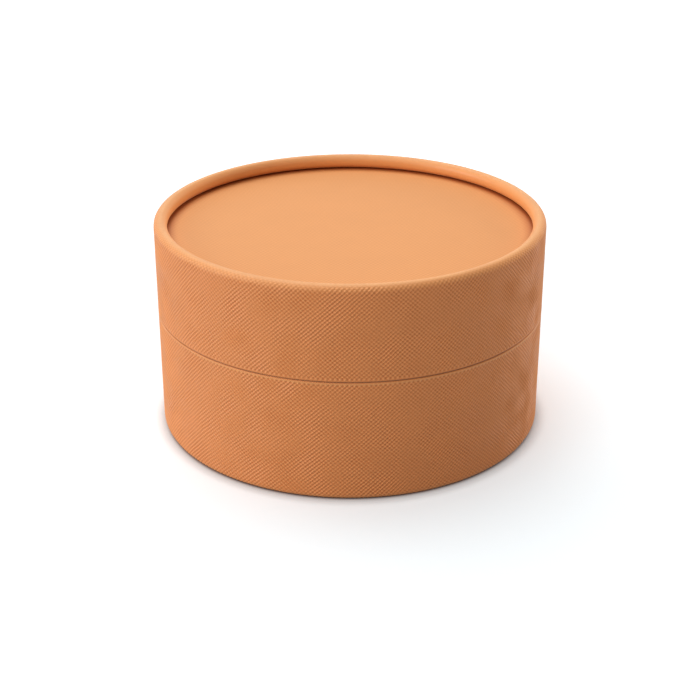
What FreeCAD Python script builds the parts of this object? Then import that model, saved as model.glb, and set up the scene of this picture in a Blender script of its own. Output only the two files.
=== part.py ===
import FreeCAD, Part

import math
import os

import Sketcher

# Round gift box of wound board tube, covered in paper: a base with a neck, and a lid that lifts off it.
# Both halves have a rolled rim with a covered disc held against it. Z is the box's axis, the box stands
# on z = 0, and all sizes are in millimetres.

SIZES = {
    # outside
    "outer_radius": 50.0,
    "base_height": 31.4,  # foot to seam
    "lid_height": 24.2,  # seam to the top of the rim
    # wall of both tubes
    "wrap_paper": 0.25,
    "tube_wall": 1.1,
    "seam_round": 0.18,  # rounding of the wrap's cut edge
    # rolled rim, the same on both tubes
    "roll_core": 0.35,  # inside radius of the board's bend
    "roll_straight": 0.4,  # height of the straight stretch on the roll's inner side
    "crest_flat": 0.8,  # width of the ring that the box stands on
    # covered disc, the same in both tubes
    "disc_board": 1.5,
    "cover_paper": 0.25,  # on the outer face
    "face_paper": 0.2,  # on the inner face
    "disc_play": 0.1,  # from the disc's edge to the tube
    # liners
    "glue_film": 0.1,  # from liner to tube
    "liner_card": 0.4,
    "slide_clearance": 0.2,  # from the lid's liner to the neck
    # neck
    "facing_paper": 0.2,
    "neck_wall": 1.1,
    "lining_paper": 0.2,
    "head_room": 5.65,  # from the neck's edge to the lid's ceiling
}

# Rounding takes at most this share of the paper's thickness
MOST_ROUNDED = 0.8

doc = FreeCAD.newDocument("gift_tube_box")

sheet = doc.addObject("Spreadsheet::Sheet", "sizes")
for row, (name, size) in enumerate(SIZES.items(), start=1):
    sheet.set(f"A{row}", name)
    sheet.set(f"B{row}", str(size))
    sheet.setAlias(f"B{row}", name)
doc.recompute()

# Radii, from the outside in, as expressions on the sheet
OUTSIDE = "sizes.outer_radius"
TUBE_OUTSIDE = f"({OUTSIDE} - sizes.wrap_paper)"
TUBE_INSIDE = f"({TUBE_OUTSIDE} - sizes.tube_wall)"
DISC_EDGE = f"({TUBE_INSIDE} - sizes.disc_play)"
LINER_OUTSIDE = f"({TUBE_INSIDE} - sizes.glue_film)"
LID_LINER_INSIDE = f"({LINER_OUTSIDE} - sizes.liner_card)"
NECK_OUTSIDE = f"({LID_LINER_INSIDE} - sizes.slide_clearance)"
NECK_BOARD_OUTSIDE = f"({NECK_OUTSIDE} - sizes.facing_paper)"
NECK_BOARD_INSIDE = f"({NECK_BOARD_OUTSIDE} - sizes.neck_wall)"
CAVITY = f"({NECK_BOARD_INSIDE} - sizes.lining_paper)"

# Rolled rim: bend radii about the centre line of the roll, and depths below its crest
CORE_BEND = "sizes.roll_core"
BOARD_BEND = f"({CORE_BEND} + sizes.tube_wall)"
PAPER_BEND = f"({BOARD_BEND} + sizes.wrap_paper)"
ROLL_RADIUS = f"({OUTSIDE} - {PAPER_BEND})"
CREST_HALF = "(sizes.crest_flat / 2)"
ROLL_TOP = f"sqrt({PAPER_BEND}^2 - {CREST_HALF}^2)"
ROLL_END = f"({ROLL_TOP} + sizes.roll_straight)"
COVER_DEPTH = f"({ROLL_END} + {PAPER_BEND})"
BOARD_DEPTH = f"({COVER_DEPTH} + sizes.cover_paper)"
FACE_DEPTH = f"({BOARD_DEPTH} + sizes.disc_board)"
INNER_DEPTH = f"({FACE_DEPTH} + sizes.face_paper)"

SEAM_ROUND = f"min(sizes.seam_round; {MOST_ROUNDED} * sizes.wrap_paper)"
TOP = "(sizes.base_height + sizes.lid_height)"
NECK_TOP = f"({TOP} - {INNER_DEPTH} - sizes.head_room)"


def value(expression):
    """Number that an expression on the sheet gives now."""
    return float(sheet.evalExpression(expression))


def origin_plane(body, role):
    """One of the body's own origin planes."""
    return next(plane for plane in body.Origin.OriginFeatures if plane.Role == role)


def new_body(label, height):
    """Empty body whose own z = 0 stands at a height of the box."""
    body = doc.addObject("PartDesign::Body", label)
    body.Label = label
    body.setExpression("Placement.Base.z", height)
    return body


def new_sketch(body, role):
    """Sketch on one of the body's origin planes."""
    sketch = body.newObject("Sketcher::SketchObject", f"{body.Name}_outline")
    sketch.AttachmentSupport = (origin_plane(body, role), "")
    sketch.MapMode = "FlatFace"
    return sketch


def bind(sketch, expression, *constraint):
    """Dimension of a sketch, tied to the sheet."""
    index = sketch.addConstraint(Sketcher.Constraint(*constraint, value(expression)))
    sketch.setExpression(f"Constraints[{index}]", expression)


def arc_through(start, end, centre_x):
    """Arc between two points about a centre whose x is known, and whether it runs from start to end."""
    rise = end.y - start.y
    run = end.x - start.x
    middle = (start + end) * 0.5
    centre = FreeCAD.Vector(centre_x, middle.y - run * (centre_x - middle.x) / rise, 0)
    forward = (start - centre).cross(end - centre).z > 0
    first, last = (start, end) if forward else (end, start)
    angles = [math.atan2(point.y - centre.y, point.x - centre.x) for point in (first, last)]
    circle = Part.Circle(centre, FreeCAD.Vector(0, 0, 1), (start - centre).Length)
    return Part.ArcOfCircle(circle, *angles), forward


def turned_piece(label, outline, height):
    """Body turned about Z. Each corner of the outline is (radius, z, arc), where arc is the radius of
    the centre of the arc that leads to the next corner, or None for a straight line."""
    body = new_body(label, height)
    sketch = new_sketch(body, "XZ_Plane")
    corners = [FreeCAD.Vector(value(radius), value(z), 0) for radius, z, arc in outline]
    ends = []
    for i, (radius, z, arc) in enumerate(outline):
        start, end = corners[i], corners[(i + 1) % len(corners)]
        if arc is None:
            edge, forward = Part.LineSegment(start, end), True
        else:
            edge, forward = arc_through(start, end, value(arc))
        index = sketch.addGeometry(edge)
        ends.append((index, 1, 2) if forward else (index, 2, 1))
    for i, (radius, z, arc) in enumerate(outline):
        index, first, last = ends[i]
        after, after_first, after_last = ends[(i + 1) % len(ends)]
        sketch.addConstraint(Sketcher.Constraint("Coincident", index, last, after, after_first))
        bind(sketch, radius, "DistanceX", -1, 1, index, first)
        bind(sketch, z, "DistanceY", -1, 1, index, first)
        if arc is not None:
            bind(sketch, arc, "DistanceX", -1, 1, index, 3)
    turn = body.newObject("PartDesign::Revolution", f"{label}_turn")
    turn.Profile = sketch
    turn.ReferenceAxis = (sketch, ["V_Axis"])
    turn.Angle = 360
    return body


def sleeve(label, outside, inside, bottom, top):
    """Straight tube between two heights."""
    body = new_body(label, bottom)
    sketch = new_sketch(body, "XY_Plane")
    for radius in (outside, inside):
        circle = Part.Circle(FreeCAD.Vector(), FreeCAD.Vector(0, 0, 1), value(radius))
        index = sketch.addGeometry(circle)
        sketch.addConstraint(Sketcher.Constraint("Coincident", index, 3, -1, 1))
        bind(sketch, radius, "Radius", index)
    pad = body.newObject("PartDesign::Pad", f"{label}_pad")
    pad.Profile = sketch
    pad.setExpression("Length", f"{top} - {bottom}")
    return body


def disc(label, bottom, thickness):
    """Flat disc that fits in either tube."""
    piece = doc.addObject("Part::Cylinder", label)
    piece.Label = label
    piece.setExpression("Radius", DISC_EDGE)
    piece.setExpression("Height", thickness)
    piece.setExpression("Placement.Base.z", bottom)
    return piece


def rolled_side(bend, seam_depth):
    """One side of a layer of the wall, from the seam along the wall and round the roll to its end, as
    (radius, depth below the crest, centre of the arc to the next corner)."""
    return [
        (f"{ROLL_RADIUS} + {bend}", seam_depth, None),
        (f"{ROLL_RADIUS} + {bend}", ROLL_TOP, ROLL_RADIUS),
        (ROLL_RADIUS, f"{ROLL_TOP} - {bend}", ROLL_RADIUS),
        (f"{ROLL_RADIUS} - {bend}", ROLL_TOP, None),
        (f"{ROLL_RADIUS} - {bend}", ROLL_END, ROLL_RADIUS),
        (ROLL_RADIUS, f"{ROLL_END} + {bend}", None),
    ]


def wrap_side(seam_depth):
    """Outside of the wrap: its cut edge is rounded, and its crest is pressed flat where it stands."""
    seam, wall, crest, *inner = rolled_side(PAPER_BEND, seam_depth)
    rounded_seam = [
        (f"{OUTSIDE} - {SEAM_ROUND}", seam_depth, f"{OUTSIDE} - {SEAM_ROUND}"),
        (OUTSIDE, f"{seam_depth} - {SEAM_ROUND}", None),
    ]
    flat_crest = [
        (f"{ROLL_RADIUS} + {CREST_HALF}", "0", None),
        (f"{ROLL_RADIUS} - {CREST_HALF}", "0", ROLL_RADIUS),
    ]
    return rounded_seam + [wall] + flat_crest + inner


def backwards(side):
    """The same side from its end to the seam."""
    arcs = [arc for radius, depth, arc in side]
    leading = [None] + arcs[:-1]
    return [(radius, depth, arc) for (radius, depth, _), arc in zip(side, leading)][::-1]


def rolled_wall(half, seam_depth, height, z_of):
    """Board tube of one half with its rolled rim, and the paper wrapped round it."""
    board = rolled_side(BOARD_BEND, seam_depth)
    layers = {
        f"{half}_tube": board + backwards(rolled_side(CORE_BEND, seam_depth)),
        f"{half}_wrap": wrap_side(seam_depth) + backwards(board),
    }
    return [
        turned_piece(label, [(radius, z_of(depth), arc) for radius, depth, arc in outline], height)
        for label, outline in layers.items()
    ]


def laminated_disc(half, face_label, bottom_of):
    """Board disc of one half, papered on its outer and inner faces."""
    layers = [
        (f"{half}_disc_cover", COVER_DEPTH, "sizes.cover_paper"),
        (f"{half}_disc", BOARD_DEPTH, "sizes.disc_board"),
        (face_label, FACE_DEPTH, "sizes.face_paper"),
    ]
    return [disc(label, bottom_of(depth, thickness), thickness) for label, depth, thickness in layers]


# Base: its rolled foot stands on z = 0
pieces = rolled_wall("base", "sizes.base_height", "0", lambda depth: depth)
pieces += laminated_disc("base", "base_floor_paper", lambda depth, thickness: depth)
pieces.append(sleeve("base_liner", LINER_OUTSIDE, NECK_OUTSIDE, INNER_DEPTH, "sizes.base_height"))

# Neck: stands on the base's floor and ends below the lid's ceiling
neck_layers = {
    "neck_facing": (NECK_OUTSIDE, NECK_BOARD_OUTSIDE),
    "neck_tube": (NECK_BOARD_OUTSIDE, NECK_BOARD_INSIDE),
    "neck_lining": (NECK_BOARD_INSIDE, CAVITY),
}
for label, (outside, inside) in neck_layers.items():
    pieces.append(sleeve(label, outside, inside, INNER_DEPTH, NECK_TOP))

# Lid: the same wall and disc turned over, on the base's rim
pieces += rolled_wall(
    "lid", "sizes.lid_height", "sizes.base_height", lambda depth: f"sizes.lid_height - ({depth})"
)
pieces += laminated_disc(
    "lid", "lid_ceiling_paper", lambda depth, thickness: f"{TOP} - {depth} - {thickness}"
)
pieces.append(
    sleeve("lid_liner", LINER_OUTSIDE, LID_LINER_INSIDE, "sizes.base_height", f"({TOP} - {INNER_DEPTH})")
)

doc.recompute()

for thing in doc.Objects:
    if "Invalid" in thing.State or "Error" in thing.State:
        raise RuntimeError(f"{thing.Label} failed: {thing.State}")
for piece in pieces:
    if piece.Shape.isNull() or not piece.Shape.isValid() or len(piece.Shape.Solids) != 1:
        raise RuntimeError(f"{piece.Label} is not one valid solid")

os.makedirs("parts", exist_ok=True)
for piece in pieces:
    piece.Shape.exportStep(f"parts/{piece.Label}.step")
    box = piece.Shape.optimalBoundingBox(False)
    print(
        f"{piece.Label}: {piece.Shape.Volume:.1f} mm3, "
        f"z {box.ZMin:.3f} to {box.ZMax:.3f}, radius {box.XMax:.3f}"
    )
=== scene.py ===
import math

import bmesh
import bpy
from bpy.props import FloatProperty, FloatVectorProperty, PointerProperty
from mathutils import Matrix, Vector, noise


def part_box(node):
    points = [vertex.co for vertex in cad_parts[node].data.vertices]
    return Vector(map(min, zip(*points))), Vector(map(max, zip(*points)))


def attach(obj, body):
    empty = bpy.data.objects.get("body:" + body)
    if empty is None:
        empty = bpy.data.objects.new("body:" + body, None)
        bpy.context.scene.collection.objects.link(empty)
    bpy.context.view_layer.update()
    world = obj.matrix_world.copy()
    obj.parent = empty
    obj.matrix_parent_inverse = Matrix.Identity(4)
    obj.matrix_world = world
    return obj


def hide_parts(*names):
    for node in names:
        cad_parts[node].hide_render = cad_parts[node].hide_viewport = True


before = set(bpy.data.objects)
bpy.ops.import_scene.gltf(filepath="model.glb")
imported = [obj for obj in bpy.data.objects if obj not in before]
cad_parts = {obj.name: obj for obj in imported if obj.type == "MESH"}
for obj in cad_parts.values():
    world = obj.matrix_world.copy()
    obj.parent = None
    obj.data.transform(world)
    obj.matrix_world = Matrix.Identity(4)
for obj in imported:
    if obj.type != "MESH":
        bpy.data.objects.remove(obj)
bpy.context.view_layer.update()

bl_info = {
    "name": "Round gift box",
    "version": (1, 0, 0),
    "blender": (4, 5, 0),
    "location": "View3D > Sidebar > Gift Box",
    "description": "Covers the frame of a round gift box in embossed paper, lines it and lights it",
    "category": "Object",
}

MM = 0.001
WHITE = (1.0, 1.0, 1.0, 1.0)

# Divisions of the meshes: a round piece is one spun sector and its copies
SECTORS = 20
ROUND_STEPS = 360
SHEET_STEPS = 180
SHEET_RINGS = 12

# Distance within which corners merge, the same at a panel's border in steps, and the angle of a sharp edge
MERGE_DISTANCE = 0.001 * MM
BORDER_MERGE = 0.15
CREASE = math.radians(50)

# Steps of a quarter of the wraps' roll, and how many rows of dimples go up it, so many steps apart
BEAD_STEPS = 9
BEAD_ROWS = 5
BEAD_STEP = 2

# Turn round the roll at which the painted highlight is strongest, and how far from there it fades out
CREST_TURN = math.radians(92)
CREST_WIDTH = math.radians(32)

# How fast the painted shade of the seam fades over the wraps' rounded edges, and the painted shade beside
# the rim over a panel
LID_SEAM_POWER = 0.25
BASE_SEAM_POWER = 3
CREVICE_REACH = 2.8 * MM
CREVICE_OVERRUN = 0.2 * MM
CREVICE_POWER = 1.7

# Dimples: the least depth, the finer patches of depth, and where they are shallow enough to look smooth
LEAST_DEPTH = 0.1
LEAST_FADE = 0.02
FINE_PATCH_SHARE = 0.5
FINE_PATCH_SCALE = 3.1
WANDER_SIZE = 0.5
WANDER_SEED = 1
LEAN_OFFSET = Vector((7, 3, 5))
SMOOTH_FADE = 0.6

# Distance of the pressed column from the lap's edge, in columns
LAP_EDGE_SHARE = 0.1

# Papers: scale of the clouds among the fibres, painted shade that deepens the colour in the dimples' pits
# and pales it on their ridges, gloss of ironed paper, and how far the fibres push the lines between plies
CLOUD_SCALE = 0.022
RELIEF_SHADE_GAMMA = 0.9
IRONED_GLOSS = 0.12
PLY_WAVER = 0.5


# Sizes read from the frame

def radii(node):
    """Smallest and largest distance of a node's corners from the box's axis."""
    distances = [math.hypot(v.co.x, v.co.y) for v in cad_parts[node].data.vertices]
    return min(distances), max(distances)


def heights(node):
    """Lowest and highest point of a node."""
    low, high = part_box(node)
    return low.z, high.z


# Kinds of property

def length(name, description, default):
    """Property that holds a length in metres."""
    return FloatProperty(
        name=name, description=description, default=default, min=0.0, precision=5,
        subtype="DISTANCE", unit="LENGTH",
    )


def share(name, description, default):
    """Property that holds a share from 0 to 1."""
    return FloatProperty(
        name=name, description=description, default=default, min=0.0, max=1.0, subtype="FACTOR",
    )


def angle(name, description, degrees):
    """Property that holds an angle."""
    return FloatProperty(
        name=name, description=description, default=math.radians(degrees), subtype="ANGLE", unit="ROTATION",
    )


def power(name, description, default):
    """Property that holds a lamp's power in watts."""
    return FloatProperty(
        name=name, description=description, default=default, min=0.0, subtype="POWER", unit="POWER",
    )


def colour(name, description, default):
    """Property that holds a linear colour."""
    return FloatVectorProperty(
        name=name, description=description, default=default, size=3, min=0.0, max=1.0, subtype="COLOR",
    )


class GiftBoxSizes(bpy.types.PropertyGroup):
    """Box, its rolled rims and the layers of its walls"""

    outer_radius: length("Outer radius", "Outside of the paper wraps", radii("lid_wrap")[1])
    seam_height: length("Seam height", "Where the lid meets the base", heights("lid_wrap")[0])
    rim_height: length("Rim height", "Crest of the lid's rolled rim", heights("lid_wrap")[1])
    cover_depth: length(
        "Panel depth", "Covered disc below the rim's crest",
        heights("lid_wrap")[1] - heights("lid_disc_cover")[1],
    )
    wrap_paper: length("Wrap paper", "Thickness of the wraps", radii("lid_wrap")[1] - radii("lid_tube")[1])
    tube_wall: length("Tube wall", "Thickness of the wound board", 1.1 * MM)
    bead_radius: length("Bead radius", "Outside radius of the rolled rims", 1.7 * MM)
    bead_straight: length("Bead straight", "Straight stretch on the inner side of the roll", 0.4 * MM)
    edge_round: length("Edge rounding", "Rounding of the wraps' edges at the seam", 0.34 * MM)
    seam_lift: length("Seam lift", "How far the wraps meet above the edges of the boards", 0.12 * MM)
    panel_sink: length("Panel sink", "How far the paper of the panels is pressed in", 0.15 * MM)
    seam_gap: length("Seam gap", "Half of the gap that shows between lid and base", 0.04 * MM)
    cut_round: length("Cut edge rounding", "Rounding of the cut edges of board and card", 0.06 * MM)
    sheet_wave: length("Sheet wave", "How far the floor's and ceiling's papers lie from flat", 0.06 * MM)
    sheet_wave_size: length("Sheet wave size", "Size of the waves in those papers", 14 * MM)


class GiftBoxPaper(bpy.types.PropertyGroup):
    """Embossing of the cover paper and its glued lap"""

    pitch_round: length("Pitch round", "Repeat of the embossing round the box", 1.12 * MM)
    pitch_up: length("Pitch up", "Repeat of the embossing up the wall", 1.06 * MM)
    depth: length("Depth", "Depth of the dimples on the wraps", 0.17 * MM)
    panel_depth: length("Panel depth", "Depth of the dimples on the panels", 0.024 * MM)
    patchiness: share("Patchiness", "How far the depth differs from place to place", 0.45)
    patch_size: length("Patch size", "Size of the deeper and shallower patches", 6 * MM)
    ridge_lean: share("Ridge lean", "How far one diagonal's ridges stand above the other's", 0.65)
    waver: length("Waver", "How far the lines of dimples wander", 0.08 * MM)
    fade: length("Fade", "Stretch over which the embossing fades at the seam", 0.3 * MM)
    lap_step: length("Lap step", "Step at the edge of the paper's glued lap", 0.1 * MM)
    lap_width: length("Lap width", "Stretch over which the lap's step evens out", 5 * MM)
    lap_flattening: share("Lap flattening", "How far the dimples at the lap's edge are flattened", 0.7)


class GiftBoxColours(bpy.types.PropertyGroup):
    """Colours of the papers, boards and floor"""

    embossed_paper: colour("Embossed paper", "Paper of both wraps", (0.70, 0.245, 0.07))
    # The panels' paper is the wraps' paper made paler, which paints in the brighter look of the lit top
    panel_paper: colour("Panel paper", "Paper of the covered discs", (0.80, 0.335, 0.106))
    # Painted highlight on the crest of the rims
    crest_highlight: colour("Crest highlight", "Crest of the rims, where a highlight is painted", (1.0, 0.58, 0.24))
    # Painted shade in the seam and beside the panels
    crevice: colour("Crevice shade", "Painted shade in the seam and beside the panels", (0.36, 0.09, 0.016))
    tube_board: colour("Tube board", "Cut edges of the wound board", (0.36, 0.25, 0.155))
    disc_board: colour("Disc board", "Grey board of the discs", (0.36, 0.33, 0.29))
    liner_card: colour("Liner card", "Card of the liners", (0.74, 0.68, 0.57))
    inner_paper: colour("Inner paper", "Paper of the neck, floor and ceiling", (0.77, 0.71, 0.60))
    floor_glow: colour("Floor glow", "White that the floor shows even in shadow", (0.3, 0.32, 0.332))
    floor: colour("Floor", "Floor that the box stands on", (0.79, 0.845, 0.865))
    # Painted contact shadow on the floor beside the foot
    floor_contact_shadow: colour("Floor contact shadow", "Floor close beside the foot", (0.2, 0.08, 0.03))
    floor_bounce: colour("Floor bounce", "Floor as it lights the box from below", (0.70, 0.68, 0.65))


class GiftBoxStage(bpy.types.PropertyGroup):
    """Camera, lamps and floor"""

    camera_distance: length("Camera distance", "From the camera to the point it looks at", 387.97 * MM)
    camera_elevation: angle("Camera elevation", "Camera above the horizon", 25.2)
    aim_height: length("Aim height", "Height of the point that the camera looks at", 16.5 * MM)
    lens: FloatProperty(
        name="Lens", description="Focal length on a 36 mm sensor", default=74.7, min=1.0,
        subtype="DISTANCE_CAMERA", unit="CAMERA",
    )
    key_azimuth: angle("Key azimuth", "Key lamp left of the front", 76)
    key_elevation: angle("Key elevation", "Key lamp above the horizon", 14)
    key_power: power("Key power", "Power of the key lamp", 21.7)
    key_size: length("Key size", "Width of the key lamp", 1.2)
    front_azimuth: angle("Front azimuth", "Front lamp left of the front", 28)
    front_elevation: angle("Front elevation", "Front lamp above the horizon", 60)
    front_power: power("Front power", "Power of the front lamp", 10.5)
    front_size: length("Front size", "Width of the front lamp", 1.4)
    side_azimuth: angle("Side azimuth", "Side lamp left of the front", -135)
    side_elevation: angle("Side elevation", "Side lamp above the horizon", 8)
    side_power: power("Side power", "Power of the side lamp", 27.0)
    side_size: length("Side size", "Width of the side lamp", 0.5)
    top_azimuth: angle("Top azimuth", "Top lamp left of the front", 151)
    top_elevation: angle("Top elevation", "Top lamp above the horizon", 63)
    top_power: power("Top power", "Power of the top lamp", 18.1)
    top_size: length("Top size", "Width of the top lamp", 1.7)
    lamp_distance: length("Lamp distance", "From the lamps to the box", 2.0)
    ambient: share("Ambient", "Light from all round", 0.29)
    floor_white: FloatProperty(
        name="Floor white", description="How much paler the floor looks than the light that it gives back",
        default=1.2, min=1.0,
    )
    # Reach and openness of the floor's painted contact shadow
    contact_reach: length("Contact reach", "How near the box the floor is darker", 6 * MM)
    contact_dark: share("Contact dark", "Openness at which the floor is darkest", 0.1)
    contact_clear: share("Contact clear", "Openness from which the floor isn't darker", 0.8)
    white_from: length("White from", "Distance from the axis at which the floor turns white", 0.15)
    white_to: length("White to", "Distance from the axis from which it is all white", 0.5)
    floor_size: length("Floor size", "Width of the floor", 8.0)
    floor_opening: length(
        "Floor opening", "Opening under the foot, which lets light reach the underside",
        radii("lid_disc_cover")[1],
    )


# Profiles, as lists of (distance from the axis, depth below the rim's crest)

def arc(centre, across, down, start, end, steps):
    """Points of an arc about a centre, given the arc's radius across and its radius downwards."""
    turns = [start + (end - start) * step / steps for step in range(steps + 1)]
    return [(centre[0] + across * math.cos(turn), centre[1] - down * math.sin(turn)) for turn in turns]


def from_crest(sizes, level, is_lid):
    """Depth below the crest at a height, or the height at a depth. The base has its crest on the floor."""
    return sizes.rim_height - level if is_lid else level


def roll_depth(sizes):
    """Depth at which the wall ends and the roll starts."""
    return sizes.cover_depth - sizes.bead_straight - sizes.bead_radius


def rolled_rim(sizes, bend, steps):
    """Side of the roll at one bend radius, from the top of the wall to the end of the tucked-in edge."""
    centre = sizes.outer_radius - sizes.bead_radius
    start = roll_depth(sizes)
    down = bend * start / sizes.bead_radius
    over = arc((centre, start), bend, down, 0, math.pi, 2 * steps)
    under = arc((centre, start + sizes.bead_straight), bend, bend, math.pi, 1.5 * math.pi, steps)
    return over + under


def wall_rows(sizes, paper, seam_depth):
    """Depths of the rows of dimples on the straight wall, from the seam to the roll."""
    start = seam_depth - sizes.seam_gap - sizes.edge_round
    end = roll_depth(sizes)
    count = round((start - end) / (paper.pitch_up / 2))
    return [start + (end - start) * row / count for row in range(count + 1)]


def roll_turn(sizes, distance, depth):
    """How far the surface has turned round the roll at a corner: none on the wall, a quarter at the crest,
    a half on the inner side and three quarters at the end of the tucked-in edge."""
    start = roll_depth(sizes)
    reach = distance - (sizes.outer_radius - sizes.bead_radius)
    if depth >= start and reach > 0:
        return 0.0
    rise = start - min(depth, start) - max(0.0, depth - start - sizes.bead_straight)
    return math.atan2(rise, reach) % math.tau


def wrap_profile(sizes, paper, seam_depth):
    """Closed outline of a wrap, which of its corners carry the dimples, and its last corner outside. The
    last rows of dimples lie on the first steps of the bead."""
    seam = seam_depth - sizes.seam_gap
    rounding = sizes.edge_round
    edge_centre = (sizes.outer_radius - rounding, seam - rounding)
    edge = arc(edge_centre, rounding, rounding, -math.pi / 2, 0, steps=4)
    rows = [(sizes.outer_radius, depth) for depth in wall_rows(sizes, paper, seam_depth)]
    bead = rolled_rim(sizes, sizes.bead_radius, BEAD_STEPS)
    rows += bead[BEAD_STEP:BEAD_ROWS * BEAD_STEP + 1:BEAD_STEP]
    smooth = bead[BEAD_ROWS * BEAD_STEP + 1:]
    inside = rolled_rim(sizes, sizes.bead_radius - sizes.wrap_paper, steps=3)
    start = [(sizes.outer_radius - sizes.wrap_paper, seam)]
    outline = start + edge[:-1] + rows + smooth + inside[::-1]
    first = len(start) + len(edge) - 1
    return outline, range(first, first + len(rows)), first + len(rows) + len(smooth) - 1


def tube_profile(sizes, seam_depth):
    """Closed outline of a board tube, whose end is rolled in with the wrap."""
    board = sizes.bead_radius - sizes.wrap_paper
    core = board - sizes.tube_wall
    outside = sizes.outer_radius - sizes.wrap_paper
    edge = cut_edge(outside - sizes.tube_wall, outside, seam_depth, sizes.cut_round)
    return edge + rolled_rim(sizes, board, steps=6) + rolled_rim(sizes, core, steps=3)[::-1]


def cut_edge(inside, outside, depth, rounding, steps=2):
    """Cut end of a tube, rounded a little at both corners, from its inner to its outer side."""
    inner = arc((inside + rounding, depth - rounding), rounding, rounding, -math.pi, -math.pi / 2, steps)
    outer = arc((outside - rounding, depth - rounding), rounding, rounding, -math.pi / 2, 0, steps)
    rim = outside - inside - 2 * rounding
    between = [(inside + rounding + rim * part / 4, depth) for part in (1, 2, 3)]
    return inner + between + outer


def sleeve_profile(inside, outside, low, high, rounding):
    """Closed outline of a straight sleeve, as (distance from the axis, height)."""
    edge = cut_edge(inside, outside, 0, rounding)
    top = [(distance, high + rise) for distance, rise in edge]
    bottom = [(distance, low - rise) for distance, rise in edge]
    return top + bottom[::-1]


# Meshes

def turned(outline, steps, layer_values=None):
    """Mesh of an outline of (distance, height) turned about the box's axis: one sector is spun, and copies
    of it are spun round. An outline that starts on the axis also ends there."""
    bm = bmesh.new()
    layers = {name: bm.verts.layers.float.new(name) for name in (layer_values or {})}
    corners = [bm.verts.new((distance, 0, height)) for distance, height in outline]
    for name, layer in layers.items():
        for corner, value in zip(corners, layer_values[name]):
            corner[layer] = value
    pairs = list(zip(corners, corners[1:]))
    if outline[0][0] > 0:
        pairs.append((corners[-1], corners[0]))
    edges = [bm.edges.new(pair) for pair in pairs]
    about = {"cent": (0, 0, 0), "axis": (0, 0, 1)}
    sector = math.tau / SECTORS
    bmesh.ops.spin(bm, geom=corners + edges, angle=sector, steps=steps // SECTORS, **about)
    whole = bm.verts[:] + bm.edges[:] + bm.faces[:]
    bmesh.ops.spin(
        bm, geom=whole, angle=math.tau - sector, steps=SECTORS - 1, use_duplicate=True, **about,
    )
    bmesh.ops.remove_doubles(bm, verts=bm.verts, dist=MERGE_DISTANCE)
    bmesh.ops.recalc_face_normals(bm, faces=bm.faces)
    for face in bm.faces:
        face.smooth = True
    return bm


def add_piece(bm, name, body, node, slot):
    """Object of a finished mesh, in place of a node of the frame."""
    for edge in bm.edges:
        edge.smooth = edge.calc_face_angle(0) < CREASE
    mesh = bpy.data.meshes.new(name)
    bm.to_mesh(mesh)
    bm.free()
    mesh.materials.append(material_for(slot))
    piece = bpy.data.objects.new(name, mesh)
    bpy.context.scene.collection.objects.link(piece)
    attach(piece, body)
    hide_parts(node)


def dimple_depth(paper, place, depth):
    """Depth of the dimples at a place, which differs from patch to patch."""
    patch = noise.noise(place / paper.patch_size)
    patch += FINE_PATCH_SHARE * noise.noise(place / paper.patch_size * FINE_PATCH_SCALE)
    return depth * max(LEAST_DEPTH, 1 + paper.patchiness * patch)


def wander(paper, place):
    """Small shift of a dimple from its place in the lattice."""
    return noise.noise_vector(place / (WANDER_SIZE * paper.patch_size)) * paper.waver


def lap_drop(paper, along):
    """How far the paper is pressed in at a distance from the lap's edge, which runs up the back, at +Y."""
    if along <= 0:
        return 0.0
    rest = 1 - along / paper.lap_width
    return paper.lap_step * rest * rest * (3 - 2 * rest)


def outward_at(vert, turn):
    """Direction that a wrap faces at a corner, from the corner's turn round the roll, which is counted
    upwards on the lid and downwards on the base."""
    flat = Vector((vert.co.x, vert.co.y, 0)).normalized()
    return flat * math.cos(vert[turn]) + Vector((0, 0, math.sin(vert[turn])))


def press_lap(bm, sizes, paper, columns):
    """Step of the wrap's glued lap: the column next to the edge moves close to it and is pressed in, and the
    dimples near it are flattened. The lap is ironed flat where the rim is rolled."""
    column_width = math.tau * sizes.outer_radius / columns
    side = bm.verts.layers.float["outside"]
    turn = bm.verts.layers.float["turn"]
    fade = bm.verts.layers.float["fade"]
    for vert in bm.verts:
        column = round(-vert.co.x / column_width)
        if vert[side] < 0.5 or vert.co.y < 0 or column < 0 or -vert.co.x >= paper.lap_width:
            continue
        drop = lap_drop(paper, -vert.co.x)
        vert[fade] *= 1 - paper.lap_flattening * drop / paper.lap_step
        if column <= 1:
            vert[fade] = 0
        if column == 1:
            vert.co.x = -LAP_EDGE_SHARE * column_width
            drop = paper.lap_step
        vert.co -= outward_at(vert, turn) * drop * max(0.0, math.cos(vert[turn]))


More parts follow.
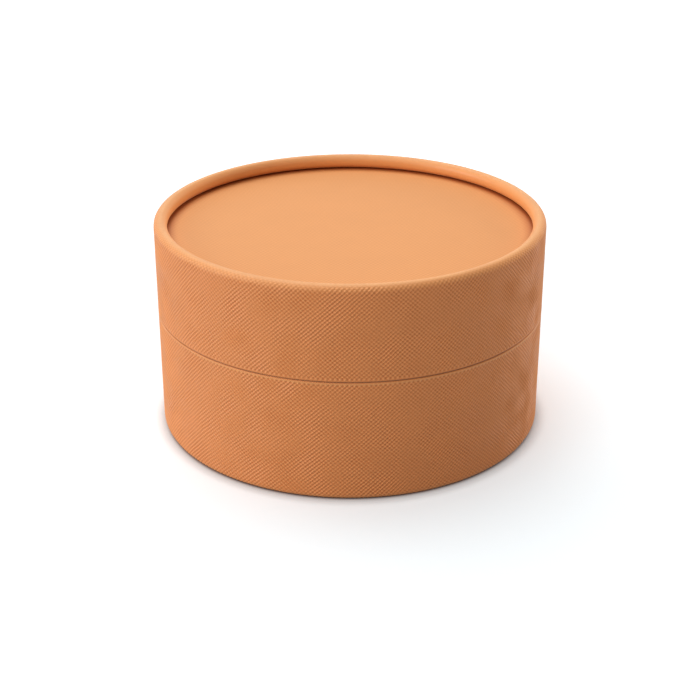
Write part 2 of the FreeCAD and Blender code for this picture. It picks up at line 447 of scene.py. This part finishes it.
def press_dimples(bm, paper, columns, depth):
    """Press the staggered dimples into the wall, and put a corner in the middle of each of its faces."""
    row_of = bm.verts.layers.float["row"]
    fade = bm.verts.layers.float["fade"]
    turn = bm.verts.layers.float["turn"]
    emboss = bm.verts.layers.float.new("emboss")
    wall = [vert for vert in bm.verts if vert[fade] > 0]
    rest = {vert: vert.co.copy() for vert in wall}
    for vert in wall:
        place = rest[vert]
        column = round(math.atan2(place.y, place.x) / math.tau * columns)
        outward = outward_at(vert, turn)
        raised = (column + round(vert[row_of])) % 2
        pressed = dimple_depth(paper, place, depth) * vert[fade]
        shift = wander(paper, place) * vert[fade]
        vert.co += shift - outward * shift.dot(outward)
        if not raised:
            vert.co -= outward * pressed
        vert[emboss] = (2 * raised - 1) * pressed / depth
    faces = [face for face in bm.faces if all(vert in rest for vert in face.verts)]
    made = bmesh.ops.poke(bm, faces=faces, center_mode="MEAN")
    for vert in made["verts"]:
        place = vert.co.copy()
        column = math.floor(math.atan2(place.y, place.x) / math.tau * columns)
        row = math.floor(vert[row_of])
        lean = paper.ridge_lean * noise.noise(place / paper.patch_size + LEAN_OFFSET)
        lift = lean * (1 if (column + row) % 2 else -1) * depth * vert[fade]
        vert.co += outward_at(vert, turn) * lift
    for face in made["faces"]:
        face.smooth = max(vert[fade] for vert in face.verts) < SMOOTH_FADE


def wrap_mesh(sizes, paper, is_lid):
    """Embossed paper wrap of the lid or of the base, with values at its corners for its shape and finish."""
    columns = SECTORS * round(2 * math.tau * sizes.outer_radius / paper.pitch_round / SECTORS)
    seam_depth = from_crest(sizes, sizes.seam_height + sizes.seam_lift, is_lid)
    outline, wall, last_outside = wrap_profile(sizes, paper, seam_depth)
    wall_start = outline[wall[0]][1]
    seam_power = LID_SEAM_POWER if is_lid else BASE_SEAM_POWER
    values = {"row": [], "fade": [], "outside": [], "turn": [], "burnish": [], "crest": [], "crevice": []}
    for index, (distance, depth) in enumerate(outline):
        turn = roll_turn(sizes, distance, depth)
        seam_fade = LEAST_FADE + (wall_start - depth) / paper.fade
        crest_fade = LEAST_FADE + (wall[-1] - index) / BEAD_ROWS
        values["row"].append(index - wall[0])
        values["fade"].append(min(1.0, seam_fade, crest_fade) if index in wall else 0.0)
        values["outside"].append(1.0 if index <= last_outside else 0.0)
        values["turn"].append(turn if is_lid else -turn)
        # The roll takes the panels' paler colour as painted light, and the base's top edge at the seam a
        # painted highlight; both are also less rough
        edge_highlight = 0 if is_lid else max(0.0, 1 - abs(index - wall[0]))
        values["burnish"].append(max(math.sin(min(turn, math.pi / 2)), edge_highlight))
        # Mask of the painted highlight along the crest of the roll
        values["crest"].append(max(0.0, 1 - abs(turn - CREST_TURN) / CREST_WIDTH))
        # Mask of the painted shade in the seam, strong on the lid's edge and faint on the base's
        values["crevice"].append(max(0.0, 1 - index / wall[0]) ** seam_power)
    outline = [(distance, from_crest(sizes, depth, is_lid)) for distance, depth in outline]
    bm = turned(outline, columns, values)
    press_lap(bm, sizes, paper, columns)
    press_dimples(bm, paper, columns, paper.depth)
    return bm


def panel_mesh(paper, radius, face_height, back_height):
    """Round sheet of the embossed paper, with its dimples on a straight lattice."""
    across = 2 * math.ceil(radius / paper.pitch_round) * 2
    along = 2 * math.ceil(radius / paper.pitch_up) * 2
    step = Vector((paper.pitch_round / 2, paper.pitch_up / 2, 1))
    bm = bmesh.new()
    bmesh.ops.create_grid(bm, x_segments=across, y_segments=along, size=1)
    bmesh.ops.scale(bm, vec=(across / 2 * step.x, along / 2 * step.y, 1), verts=bm.verts)
    outside = [face for face in bm.faces if face.calc_center_median().length > radius - step.x / 2]
    bmesh.ops.delete(bm, geom=outside, context="FACES")
    border = [vert for vert in bm.verts if vert.is_boundary]
    for vert in border:
        vert.co *= radius / vert.co.length
    bmesh.ops.remove_doubles(bm, verts=border, dist=BORDER_MERGE * step.x)
    outward = math.copysign(1, face_height - back_height)
    emboss = bm.verts.layers.float.new("emboss")
    for vert in bm.verts:
        place = vert.co.copy()
        vert.co.z = face_height
        if vert.is_boundary:
            continue
        raised = (round(place.x / step.x) + round(place.y / step.y)) % 2
        shift = wander(paper, place)
        vert.co.xy += shift.xy
        if not raised:
            vert.co.z -= outward * dimple_depth(paper, place, paper.panel_depth)
        vert[emboss] = (2 * raised - 1) * dimple_depth(paper, place, 1.0)
    bmesh.ops.poke(bm, faces=bm.faces[:], center_mode="MEAN")
    rim = [edge for edge in bm.edges if edge.is_boundary]
    made = bmesh.ops.extrude_edge_only(bm, edges=rim)["geom"]
    for vert in made:
        if isinstance(vert, bmesh.types.BMVert):
            vert.co.z = back_height
    back = [edge for edge in made if isinstance(edge, bmesh.types.BMEdge) and edge.is_boundary]
    bmesh.ops.contextual_create(bm, geom=back)
    bmesh.ops.recalc_face_normals(bm, faces=bm.faces)
    return bm


def sheet_mesh(sizes, radius, face_height, back_height):
    """Round sheet of thin paper that lies not quite flat on its board."""
    face = [(radius * ring / SHEET_RINGS, face_height) for ring in range(SHEET_RINGS + 1)]
    bm = turned(face + [(radius, back_height), (0, back_height)], SHEET_STEPS)
    inward = math.copysign(sizes.sheet_wave, back_height - face_height)
    for vert in bm.verts:
        if abs(vert.co.z - face_height) < abs(vert.co.z - back_height):
            wave = noise.noise(Vector((vert.co.x, vert.co.y, 0)) / sizes.sheet_wave_size)
            vert.co.z += inward * (1 + wave) / 2
    return bm


def sleeve_mesh(sizes, node):
    """Straight sleeve of the size of a node, with its cut edges rounded."""
    return turned(sleeve_profile(*radii(node), *heights(node), sizes.cut_round), ROUND_STEPS)


# Shader nodes

def put(tree, kind, inputs=None, **settings):
    """New node with its settings, its values and its links."""
    made = tree.nodes.new(kind)
    for name, setting in settings.items():
        setattr(made, name, setting)
    for name, value in (inputs or {}).items():
        if isinstance(value, bpy.types.NodeSocket):
            tree.links.new(value, made.inputs[name])
        else:
            made.inputs[name].default_value = value
    return made


def maths(tree, operation, *values):
    """Output of a Math node."""
    return put(tree, "ShaderNodeMath", dict(enumerate(values)), operation=operation).outputs[0]


def spread(tree, value, low, high):
    """Value from 0 to 1 spread between two others."""
    inputs = {"Value": value, "To Min": low, "To Max": high}
    return put(tree, "ShaderNodeMapRange", inputs).outputs["Result"]


def stretch(tree, value, start, end):
    """Value between two others stretched to go from 0 to 1."""
    inputs = {"Value": value, "From Min": start, "From Max": end}
    return put(tree, "ShaderNodeMapRange", inputs).outputs["Result"]


def mix_colours(tree, factor, first, second):
    """Colour between two others. A Mix node has sockets of every kind, so they are given by number."""
    return put(tree, "ShaderNodeMix", {0: factor, 6: first, 7: second}, data_type="RGBA").outputs[2]


def axis_distance(tree, place):
    """Distance of a place from the box's axis."""
    axes = put(tree, "ShaderNodeSeparateXYZ", {"Vector": place}).outputs
    square = maths(tree, "MULTIPLY", axes["Y"], axes["Y"])
    return maths(tree, "SQRT", maths(tree, "MULTIPLY_ADD", axes["X"], axes["X"], square))


def new_group(name, inputs, outputs):
    """Empty shader group with named sockets, and its input and output nodes."""
    tree = bpy.data.node_groups.new(name, "ShaderNodeTree")
    for socket_name, kind, default in inputs:
        socket = tree.interface.new_socket(socket_name, in_out="INPUT", socket_type=kind)
        if default is not None:
            socket.default_value = default
    for socket_name, kind in outputs:
        tree.interface.new_socket(socket_name, in_out="OUTPUT", socket_type=kind)
    return tree, tree.nodes.new("NodeGroupInput"), tree.nodes.new("NodeGroupOutput")


def paper_grain_group():
    """Fibres and cloudiness of paper and board, at a given size of fibre."""
    tree, given, result = new_group(
        "Paper grain",
        [("Vector", "NodeSocketVector", None), ("Fibre size", "NodeSocketFloat", 0.3 * MM)],
        [("Grain", "NodeSocketFloat"), ("Cloud", "NodeSocketFloat")],
    )
    scale = maths(tree, "DIVIDE", 1.0, given.outputs["Fibre size"])
    fine = put(
        tree, "ShaderNodeTexNoise",
        {
            "Vector": given.outputs["Vector"], "Scale": scale,
            "Detail": 5.0, "Roughness": 0.62, "Distortion": 0.6,
        },
    )
    wide = put(
        tree, "ShaderNodeTexNoise",
        {
            "Vector": given.outputs["Vector"], "Scale": maths(tree, "MULTIPLY", scale, CLOUD_SCALE),
            "Detail": 3.0, "Roughness": 0.55,
        },
    )
    tree.links.new(fine.outputs["Fac"], result.inputs["Grain"])
    tree.links.new(wide.outputs["Fac"], result.inputs["Cloud"])
    return tree


def paper_tint_group():
    """Colour that is a little lighter and darker with the paper's fibres and clouds, and with a relief:
    painted shade and light on the cover paper's dimples, and the lines between plies on board.
    """
    tree, given, result = new_group(
        "Paper tint",
        [
            ("Color", "NodeSocketColor", None), ("Grain", "NodeSocketFloat", 0.5),
            ("Cloud", "NodeSocketFloat", 0.5), ("Relief", "NodeSocketFloat", 0.0),
            ("Grain share", "NodeSocketFloat", 0.1), ("Cloud share", "NodeSocketFloat", 0.1),
            ("Relief share", "NodeSocketFloat", 0.05), ("Relief bleach", "NodeSocketFloat", 0.0),
        ],
        [("Color", "NodeSocketColor")],
    )
    grain = maths(tree, "SUBTRACT", given.outputs["Grain"], 0.5)
    cloud = maths(tree, "SUBTRACT", given.outputs["Cloud"], 0.5)
    value = maths(tree, "MULTIPLY_ADD", grain, given.outputs["Grain share"], 1.0)
    value = maths(tree, "MULTIPLY_ADD", cloud, given.outputs["Cloud share"], value)
    # On cover paper the relief is painted shade and light: darker and deeper in colour in the pits, lighter
    # and paler on the ridges
    value = maths(tree, "MULTIPLY_ADD", given.outputs["Relief"], given.outputs["Relief share"], value)
    tinted = put(tree, "ShaderNodeHueSaturation", {"Color": given.outputs["Color"], "Value": value})
    gamma = maths(tree, "MULTIPLY_ADD", given.outputs["Relief"], given.outputs["Relief bleach"], 1.0)
    bleached = put(tree, "ShaderNodeGamma", {"Color": tinted.outputs["Color"], "Gamma": gamma})
    tree.links.new(bleached.outputs["Color"], result.inputs["Color"])
    return tree


def crest_highlight_group():
    """Painted highlight: colour made paler in specks along an edge."""
    tree, given, result = new_group(
        "Rubbed edge",
        [
            ("Color", "NodeSocketColor", None), ("Rubbed color", "NodeSocketColor", None),
            ("Rub", "NodeSocketFloat", 0.0), ("Grain", "NodeSocketFloat", 0.5),
            ("Cloud", "NodeSocketFloat", 0.5),
        ],
        [("Color", "NodeSocketColor")],
    )
    specks = put(
        tree, "ShaderNodeMapRange",
        {"Value": given.outputs["Grain"], "From Min": 0.4, "From Max": 0.65, "To Min": 0.3, "To Max": 1.0},
    )
    highlight_share = maths(tree, "MULTIPLY", specks.outputs["Result"], given.outputs["Rub"])
    highlight_share = maths(tree, "MULTIPLY", highlight_share, given.outputs["Cloud"])
    mixed = mix_colours(tree, highlight_share, given.outputs["Color"], given.outputs["Rubbed color"])
    tree.links.new(mixed, result.inputs["Color"])
    return tree


def board_plies_group():
    """Thin darker lines between the wound plies, seen on the cut edge of a tube."""
    tree, given, result = new_group(
        "Board plies",
        [
            ("Vector", "NodeSocketVector", None), ("Ply", "NodeSocketFloat", 0.28 * MM),
            ("Grain", "NodeSocketFloat", 0.5),
        ],
        [("Line", "NodeSocketFloat")],
    )
    count = maths(tree, "DIVIDE", axis_distance(tree, given.outputs["Vector"]), given.outputs["Ply"])
    count = maths(tree, "MULTIPLY_ADD", given.outputs["Grain"], PLY_WAVER, count)
    saw = maths(tree, "PINGPONG", count, 0.5)
    inputs = {"Value": saw, "From Min": 0.0, "From Max": 0.16, "To Min": 1.0, "To Max": 0.0}
    line = put(tree, "ShaderNodeMapRange", inputs)
    tree.links.new(line.outputs["Result"], result.inputs["Line"])
    return tree


GROUP_MAKERS = {
    "Paper grain": paper_grain_group,
    "Paper tint": paper_tint_group,
    "Rubbed edge": crest_highlight_group,
    "Board plies": board_plies_group,
}


def use_group(tree, name, inputs):
    """Node that places a shared group, which is built the first time."""
    group = bpy.data.node_groups.get(name) or GROUP_MAKERS[name]()
    return put(tree, "ShaderNodeGroup", inputs, node_tree=group).outputs


# Finishes

def new_material(name):
    """Empty node material, with its tree and its Principled shader."""
    material = bpy.data.materials.new(name)
    material.use_nodes = True
    tree = material.node_tree
    tree.nodes.clear()
    output = tree.nodes.new("ShaderNodeOutputMaterial")
    shader = tree.nodes.new("ShaderNodeBsdfPrincipled")
    tree.links.new(shader.outputs["BSDF"], output.inputs["Surface"])
    return material, tree, shader


def object_place(tree):
    """Object coordinates."""
    return tree.nodes.new("ShaderNodeTexCoord").outputs["Object"]


def attribute(tree, name):
    """A mesh's own attribute."""
    return put(tree, "ShaderNodeAttribute", attribute_name=name).outputs["Fac"]


def bump(tree, shader, height, strength, distance):
    """Fine relief from a height."""
    made = put(tree, "ShaderNodeBump", {"Height": height, "Strength": strength, "Distance": distance})
    tree.links.new(made.outputs["Normal"], shader.inputs["Normal"])


def opaque(rgb):
    """Colour with full alpha."""
    return (*rgb, 1.0)


def chosen_colour(name):
    """One of the colours that a user can change."""
    return opaque(getattr(bpy.context.scene.gift_box_colours, name))


def cover_paper(name, dye, paler_colour_dye, cloudiness, relief_share, sheen, crevice_shade_of):
    """Dyed cover paper, with painted shade that darkens its embossed dimples a little and pales their
    ridges. Where it is ironed smooth, on the rolled rims and along the base's edge at the seam, it is less
    rough and takes the panels' paler
    colour as painted light: the look of the lit top on the rims, a painted highlight on the base's edge. The
    crests carry a painted highlight in specks, and painted shade darkens the crevices."""
    material, tree, shader = new_material(name)
    burnish = attribute(tree, "burnish")
    place = object_place(tree)
    grain = use_group(tree, "Paper grain", {"Vector": place, "Fibre size": 0.22 * MM})
    # The ironed parts take the panels' paler colour, which paints the brighter look of the lit top
    tinted = use_group(
        tree, "Paper tint",
        {
            "Color": mix_colours(tree, burnish, chosen_colour(dye), chosen_colour(paler_colour_dye)),
            "Grain": grain["Grain"], "Cloud": grain["Cloud"], "Relief": attribute(tree, "emboss"),
            "Grain share": 0.16, "Cloud share": cloudiness,
            "Relief share": relief_share, "Relief bleach": -RELIEF_SHADE_GAMMA * relief_share,
        },
    )
    # Painted highlight along the crests, paler in specks with the grain
    highlighted = use_group(
        tree, "Rubbed edge",
        {
            "Color": tinted["Color"], "Rubbed color": chosen_colour("crest_highlight"),
            "Rub": attribute(tree, "crest"), "Grain": grain["Grain"], "Cloud": grain["Cloud"],
        },
    )
    # Painted shade in the crevices
    shaded = mix_colours(tree, crevice_shade_of(tree, place), highlighted["Color"], chosen_colour("crevice"))
    tree.links.new(shaded, shader.inputs["Base Color"])
    matte = spread(tree, grain["Grain"], low=0.5, high=0.66)
    tree.links.new(maths(tree, "MULTIPLY_ADD", burnish, -IRONED_GLOSS, matte), shader.inputs["Roughness"])
    shader.inputs["Specular IOR Level"].default_value = 0.5
    shader.inputs["Sheen Weight"].default_value = sheen
    shader.inputs["Sheen Roughness"].default_value = 0.3
    shader.inputs["Sheen Tint"].default_value = (1.0, 0.93, 0.78, 1.0)
    bump(tree, shader, grain["Grain"], strength=0.25, distance=0.04 * MM)
    return material


def wrap_crevice_shade(tree, place):
    """Mask of the painted shade in the seam: 1 where a wrap turns in at the seam, falling to 0 on its wall.
    """
    return attribute(tree, "crevice")


def panel_crevice_shade(tree, place):
    """Mask of the painted shade beside the rim: 1 at the edge of a panel under the rolled rim, falling to 0
    towards its middle.
    """
    sizes = bpy.context.scene.gift_box_sizes
    edge = sizes.outer_radius - 2 * sizes.bead_radius
    near = stretch(tree, axis_distance(tree, place), edge - CREVICE_REACH, edge + CREVICE_OVERRUN)
    return maths(tree, "POWER", near, CREVICE_POWER)


def plain_paper(name, dye, fibre, relief):
    """Uncoated paper or card with visible fibres."""
    material, tree, shader = new_material(name)
    grain = use_group(tree, "Paper grain", {"Vector": object_place(tree), "Fibre size": fibre})
    tinted = use_group(
        tree, "Paper tint",
        {
            "Color": chosen_colour(dye), "Grain": grain["Grain"], "Cloud": grain["Cloud"],
            "Grain share": 0.14, "Cloud share": 0.10,
        },
    )
    tree.links.new(tinted["Color"], shader.inputs["Base Color"])
    tree.links.new(spread(tree, grain["Grain"], low=0.7, high=0.9), shader.inputs["Roughness"])
    shader.inputs["Specular IOR Level"].default_value = 0.25
    bump(tree, shader, grain["Grain"], strength=0.35, distance=relief)
    return material


def wound_board(name, dye, fibre):
    """Raw board, with the lines of its plies on the cut edges."""
    material, tree, shader = new_material(name)
    place = object_place(tree)
    grain = use_group(tree, "Paper grain", {"Vector": place, "Fibre size": fibre})
    plies = use_group(tree, "Board plies", {"Vector": place, "Grain": grain["Grain"]})
    tinted = use_group(
        tree, "Paper tint",
        {
            "Color": chosen_colour(dye), "Grain": grain["Grain"], "Cloud": grain["Cloud"],
            "Relief": plies["Line"], "Grain share": 0.5, "Cloud share": 0.25, "Relief share": -0.35,
        },
    )
    tree.links.new(tinted["Color"], shader.inputs["Base Color"])
    tree.links.new(spread(tree, grain["Grain"], low=0.8, high=1.0), shader.inputs["Roughness"])
    shader.inputs["Specular IOR Level"].default_value = 0.2
    bump(tree, shader, grain["Grain"], strength=0.6, distance=0.08 * MM)
    return material


def seen_directly(tree):
    """1 for rays from the camera, from reflections and through glass, else 0."""
    path = tree.nodes.new("ShaderNodeLightPath").outputs
    seen = maths(tree, "MAXIMUM", path["Is Camera Ray"], path["Is Glossy Ray"])
    return maths(tree, "MAXIMUM", seen, path["Is Transmission Ray"])


def floor_material(stage):
    """Pale floor that looks white where no shadow falls, and is clear from below. Near the foot a painted
    contact shadow darkens it towards a brown.
    """
    material = bpy.data.materials.new("pale_floor")
    material.use_nodes = True
    tree = material.node_tree
    tree.nodes.clear()
    plain = put(tree, "ShaderNodeBsdfDiffuse", {"Color": chosen_colour("floor_bounce")})
    # Painted contact shadow: where the floor is closed in near the foot, its colour goes towards a dark
    # brown and its glow fades
    openness = put(tree, "ShaderNodeAmbientOcclusion", {"Distance": stage.contact_reach}, samples=16)
    contact = stretch(tree, openness.outputs["AO"], stage.contact_dark, stage.contact_clear)
    away = stretch(tree, axis_distance(tree, object_place(tree)), stage.white_from, stage.white_to)
    glow_colour = mix_colours(tree, away, chosen_colour("floor_glow"), WHITE)
    glow = put(tree, "ShaderNodeEmission", {"Color": glow_colour, "Strength": contact})
    white = opaque([part * stage.floor_white for part in chosen_colour("floor")[:3]])
    shaded = mix_colours(tree, contact, chosen_colour("floor_contact_shadow"), white)
    lit = put(tree, "ShaderNodeBsdfDiffuse", {"Color": shaded})
    pale = put(tree, "ShaderNodeAddShader", {0: lit.outputs[0], 1: glow.outputs[0]})
    parts = {0: seen_directly(tree), 1: plain.outputs[0], 2: pale.outputs[0]}
    seen = put(tree, "ShaderNodeMixShader", parts)
    backfacing = tree.nodes.new("ShaderNodeNewGeometry").outputs["Backfacing"]
    clear = tree.nodes.new("ShaderNodeBsdfTransparent")
    parts = {0: backfacing, 1: seen.outputs[0], 2: clear.outputs[0]}
    surface = put(tree, "ShaderNodeMixShader", parts)
    put(tree, "ShaderNodeOutputMaterial", {"Surface": surface.outputs[0]})
    return material


def embossed_paper():
    """Paper of the wraps, whose ironed rims and edge at the seam take the panels' paler colour as painted
    light.
    """
    return cover_paper(
        "embossed_paper_dyed", "embossed_paper", "panel_paper",
        cloudiness=0.08, relief_share=0.18, sheen=0.12, crevice_shade_of=wrap_crevice_shade,
    )


def panel_paper():
    """Paper of the covered discs, pressed flatter than that of the wraps, and paler, which paints in the
    brighter look of the lit top.
    """
    return cover_paper(
        "panel_paper_dyed", "panel_paper", "panel_paper",
        cloudiness=0.05, relief_share=0.1, sheen=0.0, crevice_shade_of=panel_crevice_shade,
    )


def tube_board():
    """Wound board of the tubes."""
    return wound_board("tube_board_raw", "tube_board", fibre=0.35 * MM)


def disc_board():
    """Coarser grey board of the discs."""
    return wound_board("disc_board_raw", "disc_board", fibre=0.6 * MM)


def liner_card():
    """Card of the liners."""
    return plain_paper("liner_card_white", "liner_card", fibre=0.35 * MM, relief=0.05 * MM)


def inner_paper():
    """Paper of the neck, floor and ceiling."""
    return plain_paper("inner_paper_white", "inner_paper", fibre=0.3 * MM, relief=0.04 * MM)


MATERIAL_MAKERS = {
    "embossed_paper": embossed_paper,
    "panel_paper": panel_paper,
    "tube_board": tube_board,
    "disc_board": disc_board,
    "liner_card": liner_card,
    "inner_paper": inner_paper,
}
made_materials = {}


def material_for(slot):
    """Material of one of the record's slots, made the first time it is asked for."""
    if slot not in made_materials:
        made_materials[slot] = MATERIAL_MAKERS[slot]()
    return made_materials[slot]


# Stage

def lamp(name, stage, aim):
    """Square soft lamp that points at the box. Its azimuth is counted from the front to the left."""
    azimuth = getattr(stage, f"{name}_azimuth")
    elevation = getattr(stage, f"{name}_elevation")
    light = bpy.data.lights.new(f"{name}_lamp", "AREA")
    light.size = getattr(stage, f"{name}_size")
    light.energy = getattr(stage, f"{name}_power")
    flat = math.cos(elevation)
    towards = Vector((-math.sin(azimuth) * flat, -math.cos(azimuth) * flat, math.sin(elevation)))
    made = bpy.data.objects.new(f"{name}_lamp", light)
    made.location = aim + towards * stage.lamp_distance
    made.rotation_euler = (-towards).to_track_quat("-Z", "Y").to_euler()
    made.visible_camera = False
    bpy.context.scene.collection.objects.link(made)
    return made


def keep_off(lamps, floor):
    """Flag lamps off the floor, as with a card in front of them."""
    unlit = bpy.data.collections.new("flagged_floor")
    unlit.objects.link(floor)
    unlit.collection_objects[0].light_linking.link_state = "EXCLUDE"
    for made in lamps:
        made.light_linking.receiver_collection = unlit


class GIFTBOX_OT_stage(bpy.types.Operator):
    """Set up the camera, the lamps, the white surroundings and the floor"""

    bl_idname = "giftbox.stage"
    bl_label = "Stage"

    def execute(self, context):
        scene = context.scene
        stage = scene.gift_box_stage
        aim = Vector((0, 0, stage.aim_height))
        scene.view_settings.view_transform = "Standard"
        self.camera(scene, stage, aim)
        self.surroundings(scene, stage)
        floor = self.floor(scene, stage)
        for name in ("top", "front"):
            lamp(name, stage, aim)
        key = lamp("key", stage, aim)
        side = lamp("side", stage, aim)
        # A highlight of the side lamp would look like frost on the rim
        side.visible_glossy = False
        keep_off([key, side], floor)
        return {"FINISHED"}

    def camera(self, scene, stage, aim):
        """Camera in front of the box, looking down at it."""
        back = Vector((0, -math.cos(stage.camera_elevation), math.sin(stage.camera_elevation)))
        data = bpy.data.cameras.new("camera")
        data.lens = stage.lens
        data.sensor_width = 36
        data.clip_start = 0.01
        made = bpy.data.objects.new("camera", data)
        made.location = aim + back * stage.camera_distance
        made.rotation_euler = (-back).to_track_quat("-Z", "Y").to_euler()
        scene.collection.objects.link(made)
        scene.camera = made

    def floor(self, scene, stage):
        """Round floor with an opening under the foot."""
        bm = bmesh.new()
        for radius in (stage.floor_size / 2, stage.floor_opening):
            bmesh.ops.create_circle(bm, segments=128, radius=radius)
        bmesh.ops.bridge_loops(bm, edges=bm.edges[:])
        bmesh.ops.reverse_faces(bm, faces=[face for face in bm.faces if face.normal.z < 0])
        mesh = bpy.data.meshes.new("floor")
        bm.to_mesh(mesh)
        bm.free()
        mesh.materials.append(floor_material(stage))
        made = bpy.data.objects.new("floor", mesh)
        scene.collection.objects.link(made)
        return made

    def surroundings(self, scene, stage):
        """World that lights softly and looks white."""
        world = bpy.data.worlds.new("white_room")
        # Sampled as a lamp, the world would be as dim in reflections as it is to the paper
        world.cycles.sampling_method = "NONE"
        scene.world = world
        world.use_nodes = True
        tree = world.node_tree
        tree.nodes.clear()
        strength = spread(tree, seen_directly(tree), low=stage.ambient, high=1.0)
        background = put(tree, "ShaderNodeBackground", {"Color": WHITE, "Strength": strength})
        put(tree, "ShaderNodeOutputWorld", {"Surface": background.outputs[0]})


class GIFTBOX_OT_wraps(bpy.types.Operator):
    """Wrap the lid's tube and the base's tube in embossed paper"""

    bl_idname = "giftbox.wraps"
    bl_label = "Wraps"

    def execute(self, context):
        sizes = context.scene.gift_box_sizes
        paper = context.scene.gift_box_paper
        for part in ("lid", "base"):
            bm = wrap_mesh(sizes, paper, is_lid=part == "lid")
            add_piece(bm, f"{part}_paper_wrap", part, f"{part}_wrap", "embossed_paper")
        return {"FINISHED"}


class GIFTBOX_OT_panels(bpy.types.Operator):
    """Cover the lid's disc and the base's disc with the same paper"""

    bl_idname = "giftbox.panels"
    bl_label = "Panels"

    def execute(self, context):
        paper = context.scene.gift_box_paper
        for part, name in (("lid", "lid_top_panel"), ("base", "base_bottom_panel")):
            node = f"{part}_disc_cover"
            low, high = heights(node)
            face, back = (high, low) if part == "lid" else (low, high)
            sink = math.copysign(context.scene.gift_box_sizes.panel_sink, face - back)
            bm = panel_mesh(paper, radii(node)[1], face - sink, back)
            add_piece(bm, name, part, node, "panel_paper")
            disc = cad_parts[f"{part}_disc"]
            disc.data.materials.clear()
            disc.data.materials.append(material_for("disc_board"))
        return {"FINISHED"}


class GIFTBOX_OT_tubes(bpy.types.Operator):
    """Make the wound board tubes of the lid and the base, whose cut edges nearly touch at the seam"""

    bl_idname = "giftbox.tubes"
    bl_label = "Tubes"

    def execute(self, context):
        sizes = context.scene.gift_box_sizes
        for part in ("lid", "base"):
            is_lid = part == "lid"
            seam_depth = from_crest(sizes, sizes.seam_height, is_lid)
            outline = tube_profile(sizes, seam_depth - sizes.seam_gap / 2)
            outline = [(distance, from_crest(sizes, depth, is_lid)) for distance, depth in outline]
            bm = turned(outline, ROUND_STEPS)
            add_piece(bm, f"{part}_board", part, f"{part}_tube", "tube_board")
        return {"FINISHED"}


class GIFTBOX_OT_neck(bpy.types.Operator):
    """Make the neck: a board tube with paper on its outside and its inside"""

    bl_idname = "giftbox.neck"
    bl_label = "Neck"

    def execute(self, context):
        sizes = context.scene.gift_box_sizes
        layers = (
            ("neck_outside_paper", "neck_facing", "inner_paper"),
            ("neck_board", "neck_tube", "tube_board"),
            ("neck_inside_paper", "neck_lining", "inner_paper"),
        )
        for name, node, slot in layers:
            add_piece(sleeve_mesh(sizes, node), name, "base", node, slot)
        return {"FINISHED"}


class GIFTBOX_OT_liners(bpy.types.Operator):
    """Make the card liners of the lid and the base"""

    bl_idname = "giftbox.liners"
    bl_label = "Liners"

    def execute(self, context):
        sizes = context.scene.gift_box_sizes
        for name, body, node in (
            ("lid_card_liner", "lid_sleeve", "lid_liner"),
            ("base_card_liner", "base", "base_liner"),
        ):
            add_piece(sleeve_mesh(sizes, node), name, body, node, "liner_card")
        return {"FINISHED"}


class GIFTBOX_OT_inner_sheets(bpy.types.Operator):
    """Paper the lid's ceiling and the base's floor"""

    bl_idname = "giftbox.inner_sheets"
    bl_label = "Floor and ceiling"

    def execute(self, context):
        sizes = context.scene.gift_box_sizes
        for name, body, node in (
            ("lid_ceiling", "lid", "lid_ceiling_paper"),
            ("base_floor", "base", "base_floor_paper"),
        ):
            low, high = heights(node)
            face, back = (low, high) if body == "lid" else (high, low)
            bm = sheet_mesh(sizes, radii(node)[1], face, back)
            add_piece(bm, name, body, node, "inner_paper")
        return {"FINISHED"}


class GIFTBOX_PT_sidebar(bpy.types.Panel):
    """Sizes, colours and steps of the gift box"""

    bl_idname = "GIFTBOX_PT_sidebar"
    bl_label = "Gift Box"
    bl_space_type = "VIEW_3D"
    bl_region_type = "UI"
    bl_category = "Gift Box"

    def draw(self, context):
        for operator in OPERATORS:
            self.layout.operator(operator.bl_idname)
        for name in GROUPS:
            settings = getattr(context.scene, name)
            column = self.layout.column(align=True)
            for key in settings.__annotations__:
                column.prop(settings, key)


GROUPS = {
    "gift_box_sizes": GiftBoxSizes,
    "gift_box_paper": GiftBoxPaper,
    "gift_box_colours": GiftBoxColours,
    "gift_box_stage": GiftBoxStage,
}
OPERATORS = (
    GIFTBOX_OT_stage,
    GIFTBOX_OT_wraps,
    GIFTBOX_OT_panels,
    GIFTBOX_OT_tubes,
    GIFTBOX_OT_neck,
    GIFTBOX_OT_liners,
    GIFTBOX_OT_inner_sheets,
)
CLASSES = (*GROUPS.values(), *OPERATORS, GIFTBOX_PT_sidebar)


def register():
    # Without a seed, the dimples would wander by the clock
    noise.seed_set(WANDER_SEED)
    for cls in CLASSES:
        bpy.utils.register_class(cls)
    for name, group in GROUPS.items():
        setattr(bpy.types.Scene, name, PointerProperty(type=group))


def unregister():
    for name in GROUPS:
        delattr(bpy.types.Scene, name)
    for cls in reversed(CLASSES):
        bpy.utils.unregister_class(cls)


def main():
    """Dress the frame."""
    register()
    bpy.ops.giftbox.stage()
    bpy.ops.giftbox.wraps()
    bpy.ops.giftbox.panels()
    bpy.ops.giftbox.tubes()
    bpy.ops.giftbox.neck()
    bpy.ops.giftbox.liners()
    bpy.ops.giftbox.inner_sheets()


if __name__ == "__main__":
    main()
